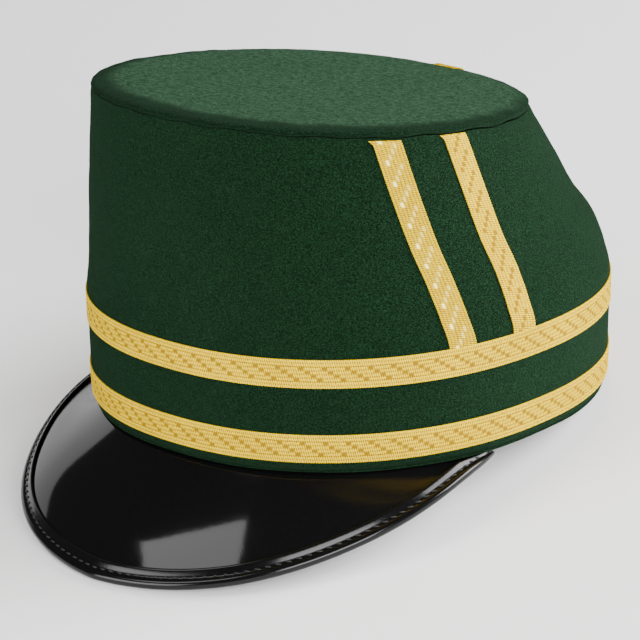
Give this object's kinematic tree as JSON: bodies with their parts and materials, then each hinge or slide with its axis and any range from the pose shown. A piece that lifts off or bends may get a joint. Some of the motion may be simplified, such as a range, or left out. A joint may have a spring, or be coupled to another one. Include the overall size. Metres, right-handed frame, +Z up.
{
  "type": "hunting cap",
  "caption": "Felt hunting cap with a flat forward-set top, sloped back, gold woven braid bands and side stripes, and a glossy bound peak.",
  "frame": {"origin": "on the table under the middle of the cap as it lies on its rear rim and the front of its peak", "axes": "-Y to the cap's front, +X to the wearer's left, +Z up from the table"},
  "size_m": [0.1844, 0.2552, 0.158],
  "materials": {
    "felt": "dark green wool felt with a fine nap",
    "braid": "gold woven braid",
    "patent": "glossy black patent"
  },
  "bodies": {
    "root": {"crown_side": "felt", "crown_top": "felt", "band_lower": "braid", "band_upper": "braid", "stripe_left_front": "braid", "stripe_left_rear": "braid", "stripe_right_front": "braid", "stripe_right_rear": "braid", "stripe_back": "braid", "peak": "patent", "peak_binding": "patent"}
  },
  "joints": []
}
